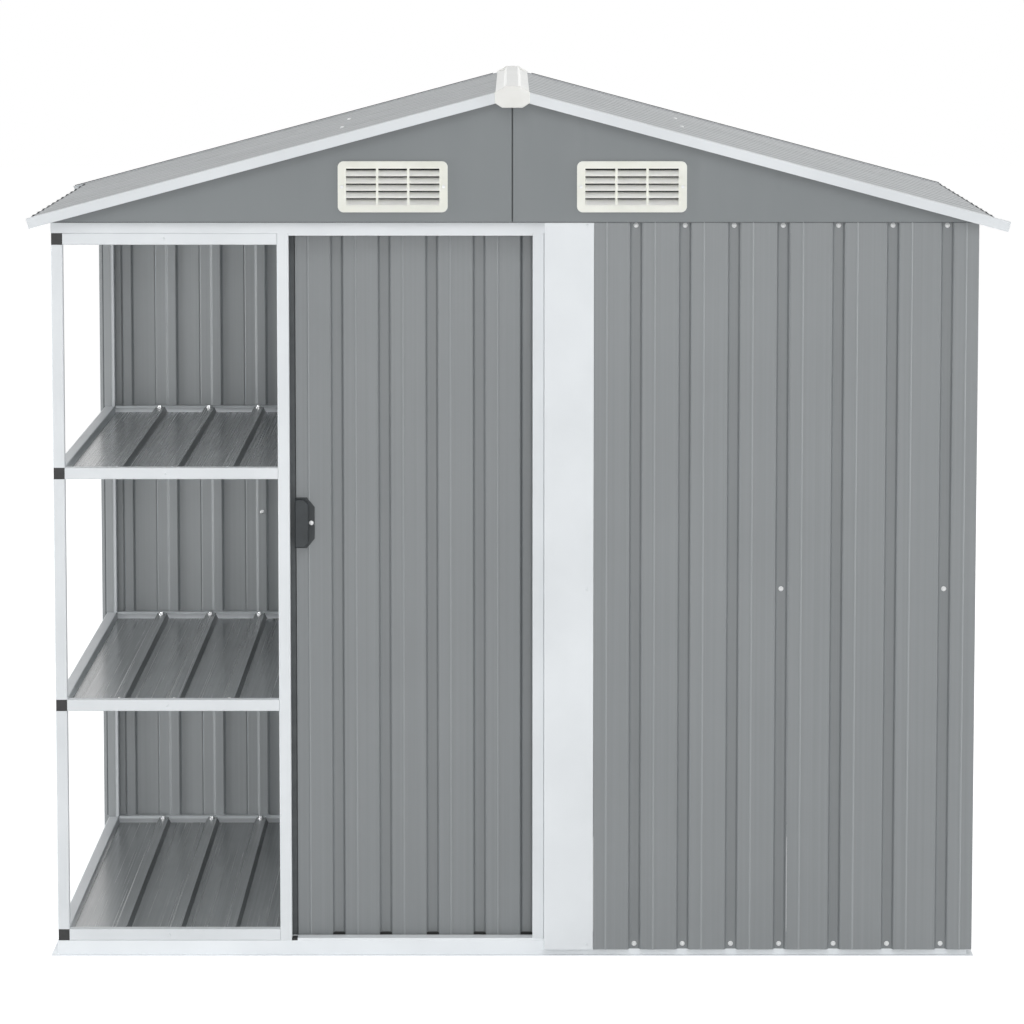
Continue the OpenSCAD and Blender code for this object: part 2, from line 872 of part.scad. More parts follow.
front_base_rail();
back_base_rail();
left_base_rail();
right_base_rail();
inner_base_rail();
door_sill();
front_top_rail();
back_top_rail();
side_top_rails();
door_top_track();
door_post();
jamb_post();
corner_posts();
wall_mid_rails();
rack_posts();
rack_connectors();
rack_corner_angle();
bottom_shelf_frame();
middle_shelf_frame();
top_shelf_frame();
rack_top_frame();
bottom_shelf();
middle_shelf();
top_shelf();
jamb_panel();
front_wall();
right_wall();
back_wall();
inner_wall();
front_gable();
back_gable();
front_vents();
back_vents();
ridge_beam();
purlins();
left_roof();
right_roof();
verge_trims();
ridge_cap();
ridge_end_caps();
door_panel();
door_edges();
door_gliders();
door_handle();
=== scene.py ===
import bpy, bmesh, math
from mathutils import Matrix, Vector


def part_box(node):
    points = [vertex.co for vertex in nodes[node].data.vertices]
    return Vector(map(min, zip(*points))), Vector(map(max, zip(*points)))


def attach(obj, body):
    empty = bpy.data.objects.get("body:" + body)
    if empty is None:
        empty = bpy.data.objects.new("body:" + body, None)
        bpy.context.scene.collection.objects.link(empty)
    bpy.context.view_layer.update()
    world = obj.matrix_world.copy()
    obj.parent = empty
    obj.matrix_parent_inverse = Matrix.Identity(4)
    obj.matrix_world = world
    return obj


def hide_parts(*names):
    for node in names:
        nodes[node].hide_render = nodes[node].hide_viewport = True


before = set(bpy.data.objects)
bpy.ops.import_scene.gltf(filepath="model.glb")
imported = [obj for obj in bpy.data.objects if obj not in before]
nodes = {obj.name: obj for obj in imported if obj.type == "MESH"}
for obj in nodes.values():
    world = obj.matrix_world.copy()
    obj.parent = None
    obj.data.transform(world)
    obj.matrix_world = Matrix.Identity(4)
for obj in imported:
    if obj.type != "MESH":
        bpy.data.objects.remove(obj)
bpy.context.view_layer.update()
scene = bpy.context.scene
mm = 0.001
up = Vector((0, 0, 1))
print("shed: loaded", len(nodes), "nodes")


def hexColour(code):
    parts = [int(code[i:i + 2], 16) / 255 for i in (1, 3, 5)]
    return tuple(p / 12.92 if p <= 0.04045 else ((p + 0.055) / 1.055) ** 2.4 for p in parts) + (1.0,)


def newMaterial(name):
    mat = bpy.data.materials.new(name)
    mat.use_nodes = True
    return mat, mat.node_tree.nodes["Principled BSDF"]


# settings are properties or sockets, links go from an output to a socket
def addNode(mat, kind, settings=None, links=None):
    node = mat.node_tree.nodes.new("ShaderNode" + kind)
    for key, value in (settings or {}).items():
        if key == "stops":
            for element, (place, code) in zip(node.color_ramp.elements, value):
                element.position = place
                element.color = hexColour(code)
        elif isinstance(key, str) and hasattr(node, key):
            setattr(node, key, value)
        else:
            node.inputs[key].default_value = value
    for key, output in (links or {}).items():
        mat.node_tree.links.new(output, node.inputs[key])
    return node


noiseSpan = (0.3, 0.7)  # nearly all values of a noise lie between these


# colour from one pattern, roughness from another, and a bump
def wireSkin(mat, shader, look, patches, rub, skin):
    stops = list(zip(noiseSpan, (look["dark"], look["light"])))
    tone = addNode(mat, "ValToRGB", {"stops": stops}, {"Fac": patches})
    gloss = addNode(mat, "MapRange", {"From Min": noiseSpan[0], "From Max": noiseSpan[1],
                                      "To Min": look["gloss"][0], "To Max": look["gloss"][1]}, {"Value": rub})
    links = mat.node_tree.links
    links.new(tone.outputs["Color"], shader.inputs["Base Color"])
    links.new(gloss.outputs[0], shader.inputs["Roughness"])
    links.new(skin.outputs[0], shader.inputs["Normal"])


# rolled steel with a baked polyester coat: fine streaks from the rolls, broad clouds, a faint orange peel
coatDepth = dict(rollMm=0.4, peelMm=0.2, grainMm=0.15, clearGloss=0.25)


def coilCoatedSteel(name, look):
    mat, shader = newMaterial(name)
    coords = addNode(mat, "TexCoord").outputs["Object"]
    drawn = addNode(mat, "Mapping", {"Scale": [1 / (s * mm) for s in look["streakMm"]]}, {"Vector": coords})
    streak = addNode(mat, "TexNoise", {"Scale": 1.0, "Detail": 5.0, "Roughness": 0.62},
                     {"Vector": drawn.outputs[0]})
    cloud = addNode(mat, "TexNoise", {"Scale": 1 / (look["cloudMm"] * mm), "Detail": 2.0}, {"Vector": coords})
    peel = addNode(mat, "TexNoise", {"Scale": 1 / (look["peelMm"] * mm), "Detail": 1.0}, {"Vector": coords})
    both = addNode(mat, "Mix", {"data_type": "FLOAT", 0: look["cloudShare"]},
                   {2: streak.outputs["Fac"], 3: cloud.outputs["Fac"]})
    rolls = addNode(mat, "Bump", {"Strength": look["rollBump"], "Distance": coatDepth["rollMm"] * mm},
                    {"Height": streak.outputs["Fac"]})
    skin = addNode(mat, "Bump", {"Strength": look["peelBump"], "Distance": coatDepth["peelMm"] * mm},
                   {"Height": peel.outputs["Fac"], "Normal": rolls.outputs[0]})
    wireSkin(mat, shader, look, both.outputs[0], streak.outputs["Fac"], skin)
    shader.inputs["Coat Weight"].default_value = look["coat"]
    shader.inputs["Coat Roughness"].default_value = coatDepth["clearGloss"]
    return mat


# powder coat, moulded plastic or plated screws: even colour, a slight cloud, a grain that only shows close up
def evenSkin(name, look):
    mat, shader = newMaterial(name)
    coords = addNode(mat, "TexCoord").outputs["Object"]
    cloud = addNode(mat, "TexNoise", {"Scale": 1 / (look["cloudMm"] * mm), "Detail": 3.0}, {"Vector": coords})
    grain = addNode(mat, "TexNoise", {"Scale": 1 / (look["grainMm"] * mm), "Detail": 2.0}, {"Vector": coords})
    skin = addNode(mat, "Bump", {"Strength": look["bump"], "Distance": coatDepth["grainMm"] * mm},
                   {"Height": grain.outputs["Fac"]})
    wireSkin(mat, shader, look, cloud.outputs["Fac"], grain.outputs["Fac"], skin)
    shader.inputs["Metallic"].default_value = look.get("metal", 0.0)
    shader.inputs["Subsurface Weight"].default_value = look.get("seep", 0.0)
    shader.inputs["Subsurface Radius"].default_value = (1.0, 1.0, 0.9)
    shader.inputs["Subsurface Scale"].default_value = look.get("seepMm", 1) * mm
    return mat


# wall sheet: streaks stand upright, so the pattern is long in Z
wallCoat = dict(streakMm=(7, 7, 1800), cloudMm=320, cloudShare=0.35, peelMm=5, gloss=(0.36, 0.46),
                rollBump=0.05, peelBump=0.04, coat=0.0)
greySheet = coilCoatedSteel("grey polyester-coated steel", dict(wallCoat, dark="#787c7e", light="#828688"))
# crown of a rolled crease: a painted highlight, the same coat painted paler there, and glossier
paintedCreaseHighlight = coilCoatedSteel("grey coat painted paler on the creases as a highlight", dict(
    wallCoat, dark="#888c8e", light="#8f9395", gloss=(0.3, 0.4)))
# reverse of the same sheet: a thin backing coat, painted paler than the face as light for the rack's back wall
# and corner angle, which get too little of it
paintedLightBackingCoat = coilCoatedSteel("backing coat painted pale as light on the rack's back wall", dict(wallCoat, dark="#9ca0a2", light="#a7abad"))
# gable sheet: the same coat on flat sheet, so hardly any streaks, painted a shade darker than the walls as the
# shade under the roof's overhang
paintedShadeGableSheet = coilCoatedSteel("smooth grey steel painted darker as the overhang's shade", dict(
    dark="#717678", light="#777c7e", streakMm=(40, 40, 900), cloudMm=420, cloudShare=0.7, peelMm=5,
    gloss=(0.42, 0.5), rollBump=0.02, peelBump=0.04, coat=0.0))
# roof sheet: lighter, streaks run down the slope, so the pattern is narrow in Y only; real streaks are finer,
# but seen at a low angle they would not show, so they are drawn at 45 mm, and the orange peel is left out
roofSheet = coilCoatedSteel("pale grey roof steel", dict(
    dark="#9a9d9f", light="#b0b3b5", streakMm=(1500, 45, 1500), cloudMm=260, cloudShare=0.3, peelMm=5,
    gloss=(0.32, 0.44), rollBump=0.06, peelBump=0.0, coat=0.0))
# shelf sheet: darker and glossier, brushed front to back
shelfCoat = dict(streakMm=(5, 1300, 5), cloudMm=220, cloudShare=0.3, peelMm=6, rollBump=0.12, peelBump=0.03)
shelfSheet = coilCoatedSteel("glossy dark grey shelf steel", dict(
    shelfCoat, dark="#818587", light="#9b9fa0", gloss=(0.16, 0.3), coat=0.3))
# folds of a shelf rib: the same coat, rougher and painted dark as the shade in the folds
paintedFoldShade = coilCoatedSteel("shelf coat painted dark in the folds as shade", dict(
    shelfCoat, dark="#505456", light="#606466", gloss=(0.3, 0.42), coat=0.1))
# powder-coated tube: satin white, grain drawn at 3 mm so that it shows at all
whiteSteel = evenSkin("white powder-coated steel", dict(
    dark="#d4d8db", light="#dde1e4", cloudMm=190, grainMm=3, gloss=(0.36, 0.46), bump=0.05))
# coil-coated white: on the folded trims painted a shade darker than the tubes as shade; painted paler as light
# on the sill, the base rails and the ridge, which is warmer too
trimCoat = dict(cloudMm=240, grainMm=3, gloss=(0.36, 0.46), bump=0.04)
paintedShadeTrimSteel = evenSkin("white trim coat painted darker as shade", dict(trimCoat, dark="#ced2d5", light="#d7dbde"))
paintedLightSillSteel = evenSkin("bright white coil-coated sill", dict(trimCoat, dark="#e2e6e9", light="#ebeff2"))
paintedLightRidgeSteel = evenSkin("warm white coat painted paler as light on the ridge", dict(trimCoat, dark="#e8e9e7", light="#f0f1ef"))
# moulded ABS: spark-eroded grain, drawn at 1.5 mm
blackAbs = evenSkin("black moulded ABS", dict(
    dark="#232324", light="#2c2c2d", cloudMm=12, grainMm=1.5, gloss=(0.5, 0.62), bump=0.2))
handleAbs = evenSkin("dark grey moulded ABS", dict(
    dark="#22272a", light="#2d3235", cloudMm=24, grainMm=1.5, gloss=(0.5, 0.62), bump=0.16))
# louvres and ridge ends: warm white polypropylene, slightly waxy, so light seeps a little way into the louvres
ventCoat = dict(cloudMm=60, grainMm=2.5, seep=0.6, seepMm=8)
ventPlastic = evenSkin("warm white polypropylene", dict(
    ventCoat, dark="#e2e3d9", light="#ebece3", gloss=(0.42, 0.52), bump=0.08))
# sloping faces of the louvre blades: the same plastic, glossier and painted paler as light where the blade
# above shades them
paintedLightBladePlastic = evenSkin("white polypropylene painted paler on the blades as light", dict(
    ventCoat, dark="#f4f5ec", light="#fbfbf4", gloss=(0.3, 0.4), bump=0.04))
capPlastic = evenSkin("white polypropylene", dict(
    dark="#dcdcd8", light="#e5e5e2", cloudMm=70, grainMm=2.5, gloss=(0.42, 0.52), bump=0.08))
# painted screw heads: small, so the cloud is a few millimetres
screwPaint = evenSkin("white painted screw steel", dict(
    dark="#e4e6e7", light="#f2f3f3", cloudMm=4, grainMm=1, gloss=(0.3, 0.42), bump=0.08))
# bright zinc plate on the screws inside the rack
zincPlate = evenSkin("zinc-plated screw steel", dict(
    dark="#dcdedf", light="#ecedee", cloudMm=4, grainMm=1, gloss=(0.22, 0.34), bump=0.08, metal=1.0))
print("shed: materials ready")


def faceWidth(face):
    return face.calc_area() / max(e.calc_length() for e in face.edges)


# faces wider than flatOver mm stay flat, so that only the bends shade round; this is set after the sharp edges,
# because setting those makes every face smooth
def finishPiece(bm, name, material, body, smoothAngle=35, flatOver=5):
    bends = [faceWidth(face) < flatOver * mm for face in bm.faces]
    mesh = bpy.data.meshes.new(name)
    bm.to_mesh(mesh)
    bm.free()
    piece = bpy.data.objects.new(name, mesh)
    scene.collection.objects.link(piece)
    mesh.materials.append(material)
    mesh.set_sharp_from_angle(angle=math.radians(smoothAngle))
    mesh.polygons.foreach_set("use_smooth", bends)
    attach(piece, body)
    return piece


# merged copy of a node's mesh with its flat faces whole again
mergeLimits = dict(weld=0.02, flat=0.5)


def mergedCopy(name):
    bm = bmesh.new()
    bm.from_mesh(nodes[name].data)
    bmesh.ops.remove_doubles(bm, verts=bm.verts, dist=mergeLimits["weld"] * mm)
    bmesh.ops.dissolve_limit(bm, angle_limit=math.radians(mergeLimits["flat"]), use_dissolve_boundaries=False,
                             verts=bm.verts, edges=bm.edges)
    return bm


def bend(bm, edges, radius, segments):
    bmesh.ops.bevel(bm, geom=edges, offset=radius * mm, offset_type="OFFSET", affect="EDGES",
                    segments=segments, profile=0.5, material=-1, clamp_overlap=True)


def isClosed(bm):
    return all(len(e.link_faces) == 2 for e in bm.edges)


def reportClosed(name, bm):
    print("shed:", name, len(bm.faces), "faces,", "closed" if isClosed(bm) else "NOT closed")


# folds of a rolled sheet get a real bend radius: first the grooves, then the shallow creases
sheetBend = dict(groove=2.0, grooveAngle=(50, 80), grooveWide=(4, 900), grooveSegments=3,
                 crease=0.6, creaseAngle=(12, 80), creaseWide=(1.6, 4), creaseSegments=2, shortest=300)
rolledSheets = {
    "front_wall": ("frontWallSheet", greySheet, "shed", "grey_sheet"),
    "right_wall": ("rightWallSheet", greySheet, "shed", "grey_sheet"),
    "back_wall": ("backWallSheet", greySheet, "shed", "grey_sheet"),
    "inner_wall": ("innerWallSheet", greySheet, "shed", "grey_sheet"),
    "left_roof": ("leftRoofSheet", roofSheet, "shed", "roof_sheet"),
    "right_roof": ("rightRoofSheet", roofSheet, "shed", "roof_sheet"),
    "bottom_shelf": ("bottomShelfSheet", shelfSheet, "shed", "shelf_sheet"),
    "middle_shelf": ("middleShelfSheet", shelfSheet, "shed", "shelf_sheet"),
    "top_shelf": ("topShelfSheet", shelfSheet, "shed", "shelf_sheet"),
    "door_panel": ("doorSheet", greySheet, "door", "grey_sheet"),
}
# second and third coat of a sheet, which are painted highlight, painted light and painted shade, and how far a
# face is turned to get them
otherCoats = {greySheet.name: (paintedCreaseHighlight, paintedLightBackingCoat), shelfSheet.name: (paintedFoldShade,)}
coatTurn = dict(inside=-0.3, fold=0.5)


def foldEdges(bm, span, width):
    return [e for e in bm.edges if len(e.link_faces) == 2 and e.calc_length() > sheetBend["shortest"] * mm
            and span[0] < math.degrees(e.calc_face_angle(0)) < span[1]
            and width[0] * mm < min(faceWidth(f) for f in e.link_faces) < width[1] * mm]


def chooseCoats(bm, node, material):
    # crowns of the creases take the coat painted paler as a highlight
    if material is greySheet:
        for edge in foldEdges(bm, sheetBend["creaseAngle"], sheetBend["creaseWide"]):
            if edge.is_convex and max(faceWidth(f) for f in edge.link_faces) < sheetBend["creaseWide"][1] * mm:
                for face in edge.link_faces:
                    face.material_index = 1
    for face in bm.faces:
        # inner faces of the back wall take the backing coat painted pale as light
        if node == "back_wall" and face.normal.y < coatTurn["inside"]:
            face.material_index = 2
        # flanks of the shelf ribs take the coat painted dark as shade
        if material is shelfSheet and abs(face.normal.x) > coatTurn["fold"]:
            face.material_index = 1


def softenSheet(node):
    name, material, body, slot = rolledSheets[node]
    bm = mergedCopy(node)
    chooseCoats(bm, node, material)
    for kind in ("groove", "crease"):
        edges = foldEdges(bm, sheetBend[kind + "Angle"], sheetBend[kind + "Wide"])
        bend(bm, edges, sheetBend[kind], sheetBend[kind + "Segments"])
    reportClosed(name, bm)
    piece = finishPiece(bm, name, material, body)
    for coat in otherCoats.get(material.name, ()):
        piece.data.materials.append(coat)
    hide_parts(node)


for node in rolledSheets:
    softenSheet(node)
print("shed: rolled sheets bent")

# square tube and folded trim: the long outer corners get the radius of the bend
tubeBend = dict(angle=60, wide=6, segments=3)
roundedSteel = {
    "front_base_rail": ("frontBaseRail", 1.4, paintedLightSillSteel), "back_base_rail": ("backBaseRail", 1.4, paintedLightSillSteel),
    "left_base_rail": ("leftBaseRail", 1.4, paintedLightSillSteel), "right_base_rail": ("rightBaseRail", 1.4, paintedLightSillSteel),
    "door_sill": ("doorSill", 1.2, paintedLightSillSteel), "front_top_rail": ("frontTopRail", 2.0, whiteSteel),
    "back_top_rail": ("backTopRail", 2.0, whiteSteel), "side_top_rails": ("sideTopRails", 2.0, whiteSteel),
    "door_post": ("doorPost", 2.0, whiteSteel), "jamb_post": ("jambPost", 2.0, whiteSteel),
    "corner_posts": ("cornerPosts", 2.0, whiteSteel), "rack_posts": ("rackPosts", 2.0, whiteSteel),
    "bottom_shelf_frame": ("bottomShelfTubes", 2.0, whiteSteel),
    "middle_shelf_frame": ("middleShelfTubes", 2.0, whiteSteel),
    "top_shelf_frame": ("topShelfTubes", 2.0, whiteSteel), "rack_top_frame": ("rackTopTubes", 2.0, whiteSteel),
    "verge_trims": ("vergeTrims", 0.9, paintedShadeTrimSteel), "purlins": ("purlinTubes", 2.0, whiteSteel),
    "jamb_panel": ("jambPanel", 1.0, whiteSteel),
}


def roundSteel(node):
    name, radius, coat = roundedSteel[node]
    bm = mergedCopy(node)
    corners = [e for e in bm.edges if len(e.link_faces) == 2 and e.is_convex
               and math.degrees(e.calc_face_angle(0)) > tubeBend["angle"]
               and min(faceWidth(f) for f in e.link_faces) > tubeBend["wide"] * mm]
    bend(bm, corners, radius, tubeBend["segments"])
    reportClosed(name, bm)
    piece = finishPiece(bm, name, coat, "shed")
    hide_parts(node)


for node in roundedSteel:
    roundSteel(node)
print("shed: tubes and trims rounded")

# moulded pieces: every outline edge of the faces that look forwards or backwards is eased
mouldedEase = dict(angle=25, outward=0.99, wide=4, segments=3, bladeTurn=(0.2, 0.95))
mouldedParts = {
    "front_vents": ("frontVents", ventPlastic, "shed", "white_plastic", 1.2),
    "back_vents": ("backVents", ventPlastic, "shed", "white_plastic", 1.2),
    "ridge_end_caps": ("ridgeEndCaps", capPlastic, "shed", "white_plastic", 2.5),
    "rack_connectors": ("rackConnectors", blackAbs, "shed", "dark_plastic", 1.0),
    "door_handle": ("doorHandle", handleAbs, "door", "dark_plastic", 2.2),
}


def easeMoulded(node):
    name, material, body, slot, radius = mouldedParts[node]
    bm = mergedCopy(node)
    edges = [e for e in bm.edges if len(e.link_faces) == 2 and e.is_convex
             and math.degrees(e.calc_face_angle(0)) > mouldedEase["angle"]
             and max(abs(f.normal.y) for f in e.link_faces) > mouldedEase["outward"]
             and min(faceWidth(f) for f in e.link_faces) > mouldedEase["wide"] * mm]
    least, most = mouldedEase["bladeTurn"]
    # sloping blade faces take the plastic painted paler as light
    for face in bm.faces:
        if material is ventPlastic and least < abs(face.normal.z) < most:
            face.material_index = 1
    bend(bm, edges, radius, mouldedEase["segments"])
    reportClosed(name, bm)
    piece = finishPiece(bm, name, material, body)
    if material is ventPlastic:
        piece.data.materials.append(paintedLightBladePlastic)
    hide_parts(node)


for node in mouldedParts:
    easeMoulded(node)
print("shed: moulded parts eased")

# nodes that keep their own mesh
# the rack's corner angle below takes the backing coat painted pale as light
keptNodes = {
    "inner_base_rail": whiteSteel, "door_top_track": whiteSteel, "wall_mid_rails": whiteSteel,
    # the gables take their sheet painted darker as shade
    "rack_corner_angle": paintedLightBackingCoat, "front_gable": paintedShadeGableSheet, "back_gable": paintedShadeGableSheet,
    "ridge_beam": whiteSteel, "ridge_cap": paintedLightRidgeSteel, "door_edges": greySheet, "door_gliders": blackAbs,
}
for node, material in keptNodes.items():
    nodes[node].data.materials.clear()
    nodes[node].data.materials.append(material)
print("shed: kept nodes coloured")

# screw heads: (radius, height) in mm from the seat up, spun round +Z
screwHead = dict(steps=12, weld=0.005, smoothAngle=50)
panScrew = [(0, 0), (5.2, 0), (5.2, 0.9), (4.0, 1.1), (3.6, 2.6), (2.4, 3.3), (1.5, 3.4), (1.2, 2.2),
            (0, 2.2)]
domeScrew = [(0, 0), (5.0, 0), (4.7, 1.4), (3.4, 2.8), (1.8, 3.4), (0, 3.6)]
washerScrew = [(0, 0), (9.0, 0), (9.0, 1.6), (6.2, 2.2), (6.0, 4.8), (4.2, 5.8), (0, 6.0)]
flatScrew = [(0, 0), (3.4, 0), (3.1, 0.7), (1.8, 1.2), (1.1, 1.2), (0.8, 0.6), (0, 0.6)]


def spunHead(profile):
    bm = bmesh.new()
    ring = [bm.verts.new((r * mm, 0, z * mm)) for r, z in profile]
    line = [bm.edges.new(pair) for pair in zip(ring, ring[1:])]
    bmesh.ops.spin(bm, geom=ring + line, cent=(0, 0, 0), axis=up, angle=math.tau, steps=screwHead["steps"],
                   use_merge=True)
    bmesh.ops.remove_doubles(bm, verts=bm.verts, dist=screwHead["weld"] * mm)
    bmesh.ops.recalc_face_normals(bm, faces=bm.faces)
    return bm


# one piece with a head at each (spot, way out of the surface)
def placeScrews(name, profile, places, body, material=screwPaint):
    head = spunHead(profile)
    seed = bpy.data.meshes.new(name + "Head")
    head.to_mesh(seed)
    head.free()
    bm = bmesh.new()
    for spot, way in places:
        before = len(bm.verts)
        bm.from_mesh(seed)
        bm.verts.ensure_lookup_table()
        turn = up.rotation_difference(Vector(way)).to_matrix().to_4x4()
        bmesh.ops.transform(bm, matrix=Matrix.Translation(spot) @ turn, verts=bm.verts[before:])
    bpy.data.meshes.remove(seed)
    print("shed:", name, len(places), "screws")
    finishPiece(bm, name, material, body, screwHead["smoothAngle"])


# how far out the flats of a sheet lie, and the middles of its outward-facing groove floors
floorSearch = dict(facing=0.99, wide=10, deep=(5, 9.2))


def grooveFloors(node, way):
    bm = mergedCopy(node)
    way = Vector(way)
    facing = [f.calc_center_median() for f in bm.faces
              if f.normal.dot(way) > floorSearch["facing"] and faceWidth(f) > floorSearch["wide"] * mm]
    bm.free()
    front = max(spot.dot(way) for spot in facing)
    least, most = floorSearch["deep"]
    spots = [spot for spot in facing if least * mm < front - spot.dot(way) < most * mm]
    return front, sorted(spots, key=lambda s: (round(s.x, 4), round(s.y, 4)))


# wall screws go through the groove floors into the base rail and the top rail, and at each lap into the
# mid rail; each wall has its way out and the number of grooves in each of its sheets
ahead = (0, -1, 0)
wallRows = dict(low=24, middle=775, high=1531.5)
wallFaces = {
    "front_wall": (ahead, (4, 3)), "right_wall": ((1, 0, 0), (4, 4, 4)), "back_wall": ((0, 1, 0), (4, 5, 4, 5)),
}
wallPlaces = []
for node, (way, groups) in wallFaces.items():
    laps = [sum(groups[:i + 1]) - 1 for i in range(len(groups))]
    for count, floor in enumerate(grooveFloors(node, way)[1]):
        rows = ("low", "middle", "high") if count in laps else ("low", "high")
        wallPlaces += [(Vector((floor.x, floor.y, wallRows[row] * mm)), way) for row in rows]
placeScrews("wallScrews", panScrew, wallPlaces, "shed")

# shelf screws hold each rib on the fins at the front and the back; the lowest shelf shows none in front
shelfScrews = dict(fromEdge=34, ribWidth=15, ribBand=1, facing=0.99)
shelfPlaces = {"front": [], "rear": []}
for level in ("bottom", "middle", "top"):
    bm = mergedCopy(level + "_shelf")
    high = max(v.co.z for v in bm.verts)
    ribs = [f.calc_center_median().x for f in bm.faces if f.normal.z > shelfScrews["facing"]
            and f.calc_center_median().z > high - shelfScrews["ribBand"] * mm
            and faceWidth(f) > shelfScrews["ribWidth"] * mm]
    bm.free()
    low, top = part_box(level + "_shelf_frame")
    for x in sorted(ribs):
        shelfPlaces["rear"].append((Vector((x, top.y - shelfScrews["fromEdge"] * mm, high)), up))
        if level != "bottom":
            shelfPlaces["front"].append((Vector((x, low.y + shelfScrews["fromEdge"] * mm, high)), up))
placeScrews("shelfFrontScrews", flatScrew, shelfPlaces["front"], "shed", zincPlate)
placeScrews("shelfRearScrews", washerScrew, shelfPlaces["rear"], "shed", zincPlate)

# roof screws stand on the purlins beside the sheet laps, which follow the grooves counted here
roofScrews = dict(fromRidge=364, pastGroove=26, laps=(3, 7))
roofPitch = math.radians(15)


# way out of a roof slope and way down it, side -1 for the left slope and 1 for the right one
def slopeWays(side):
    out = Vector((side * math.sin(roofPitch), 0, math.cos(roofPitch)))
    down = Vector((side * math.cos(roofPitch), 0, -math.sin(roofPitch)))
    return out, down


roofPlaces = []
for node, side in (("left_roof", -1), ("right_roof", 1)):
    way = slopeWays(side)[0]
    level, floors = grooveFloors(node, way)
    floors = sorted((f.y for f in floors), reverse=side > 0)
    for last in roofScrews["laps"]:
        x = side * roofScrews["fromRidge"] * mm
        y = floors[last] - side * roofScrews["pastGroove"] * mm
        roofPlaces.append((Vector((x, y, (level - x * way.x) / way.z)), way))
placeScrews("roofScrews", panScrew, roofPlaces, "shed")

# vent screws sit in the middle of each side rim
ventScrews = dict(middle=246, reach=104.5)
ventPlaces = []
for node, way in (("front_vents", -1), ("back_vents", 1)):
    low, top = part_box(node)
    y = low.y if way < 0 else top.y
    for x in (-ventScrews["middle"], ventScrews["middle"]):
        for off in (-ventScrews["reach"], ventScrews["reach"]):
            ventPlaces.append((Vector(((x + off) * mm, y, (low.z + top.z) / 2)), (0, way, 0)))
placeScrews("ventScrews", flatScrew, ventPlaces, "shed")

# handle screw in the plate beside the grip
handleScrew = dict(fromRight=7, plate=4)
low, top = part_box("door_handle")
spot = Vector((top.x - handleScrew["fromRight"] * mm, top.y - handleScrew["plate"] * mm, (low.z + top.z) / 2))
placeScrews("handleScrew", domeScrew, [(spot, ahead)], "door")

# painted screws in the front tubes of the rack, half way along
tubeScrews = dict(fromTop=12)
tubePlaces = []
for node in ("bottom_shelf_frame", "middle_shelf_frame", "top_shelf_frame", "rack_top_frame"):
    low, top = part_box(node)
    tubePlaces.append((Vector(((low.x + top.x) / 2, low.y, top.z - tubeScrews["fromTop"] * mm)), ahead))
placeScrews("tubeScrews", flatScrew, tubePlaces, "shed", whiteSteel)

# one screw shows inside the rack, in the groove of the back wall that is nearest to this place
rackScrew = dict(nearX=-587)
grooves = grooveFloors("back_wall", (0, 1, 0))[1]
inside = min(grooves, key=lambda groove: abs(groove.x - rackScrew["nearX"] * mm))
spot = Vector((inside.x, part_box("back_wall")[0].y, wallRows["middle"] * mm))
placeScrews("rackWallScrew", panScrew, [(spot, ahead)], "shed", zincPlate)

# white screws hold the lap of the jamb panel
jambScrews = dict(fromRight=14)
low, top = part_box("jamb_panel")
x = top.x - jambScrews["fromRight"] * mm
jambPlaces = [(Vector((x, low.y, height * mm)), ahead) for height in wallRows.values()]
placeScrews("jambScrews", flatScrew, jambPlaces, "shed", whiteSteel)
print("shed: screws set")


# block with eased edges between two corners
def softBlock(name, first, last, radius, material, body="shed"):
    bm = bmesh.new()
    bmesh.ops.create_cube(bm, size=1.0)
    bmesh.ops.scale(bm, vec=last - first, verts=bm.verts)
    bmesh.ops.translate(bm, vec=(first + last) / 2, verts=bm.verts)
    bend(bm, bm.edges[:], radius, 2)
    finishPiece(bm, name, material, body)


# dark strip down the door's closing edge: painted shade of the recess beside the door post
doorShadeStrip = dict(inset=1, thick=5, ends=4, round=2.2)
# dark material of the strips that are painted in as shade
paintedShadeStrips = evenSkin("dark strips painted in as shade", dict(
    dark="#54585a", light="#5f6365", cloudMm=30, grainMm=2, gloss=(0.6, 0.75), bump=0.1))
low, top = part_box("door_edges")
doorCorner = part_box("door_panel")[0]
first = Vector((low.x + doorShadeStrip["inset"] * mm, low.y - doorShadeStrip["thick"] * mm, low.z + doorShadeStrip["ends"] * mm))
last = Vector((doorCorner.x - doorShadeStrip["inset"] * mm, low.y, top.z - doorShadeStrip["ends"] * mm))
softBlock("doorShadeStrip", first, last, doorShadeStrip["round"], paintedShadeStrips, "door")
print("shed: door shade strip set")

# pale pile strip along the front of the sill's slot: painted light over the slot's shadow
slotGap = 5
sillLightStrip = dict(off=0.1, thick=3.4, fromBottom=12, fromTop=1.5, fromRight=1, round=0.8)
paintedLightPile = evenSkin("pale pile painted in as light over the slot's shade", dict(
    dark="#aeb1b2", light="#bec1c2", cloudMm=15, grainMm=1.2, gloss=(0.6, 0.75), bump=0.4))
low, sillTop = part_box("door_sill")
slotFront = doorCorner.y - slotGap * mm
first = Vector((doorCorner.x, slotFront + sillLightStrip["off"] * mm, low.z + sillLightStrip["fromBottom"] * mm))
last = Vector((sillTop.x - sillLightStrip["fromRight"] * mm, slotFront + sillLightStrip["thick"] * mm,
               sillTop.z - sillLightStrip["fromTop"] * mm))
softBlock("sillLightStrip", first, last, sillLightStrip["round"], paintedLightPile)

